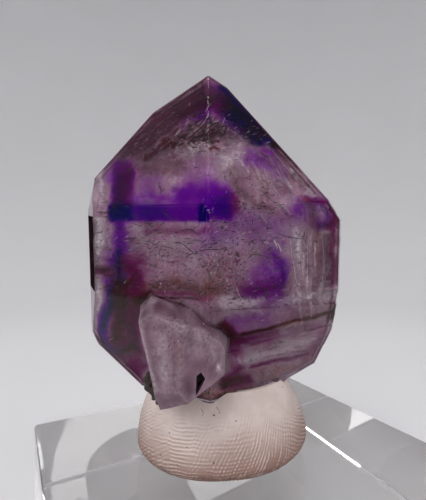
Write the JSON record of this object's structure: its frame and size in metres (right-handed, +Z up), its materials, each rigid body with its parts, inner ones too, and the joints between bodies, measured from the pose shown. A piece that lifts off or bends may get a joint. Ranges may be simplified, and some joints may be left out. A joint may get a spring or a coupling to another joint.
{
  "type": "amethyst scepter crystal on a clear block",
  "caption": "Purple quartz scepter head with a small side crystal, pressed into white mineral tack on a clear square acrylic display block.",
  "frame": {"origin": "centre of the block's underside, in the middle of the whole object's footprint", "axes": "+Z up along the block's height and the object's longest way; -Y towards the crystal's front edge; the block is turned 28.2 degrees about Z under the crystal"},
  "size_m": [0.0684, 0.0684, 0.0774],
  "materials": {
    "clear_acrylic": "polished clear acrylic",
    "white_tack": "matte off-white putty with finger marks",
    "amethyst": "vitreous, see-through, zoned purple with brown wisps"
  },
  "bodies": {
    "root": {"acrylic_base": "clear_acrylic", "mineral_tack": "white_tack", "amethyst_crystal": "amethyst"}
  },
  "joints": []
}
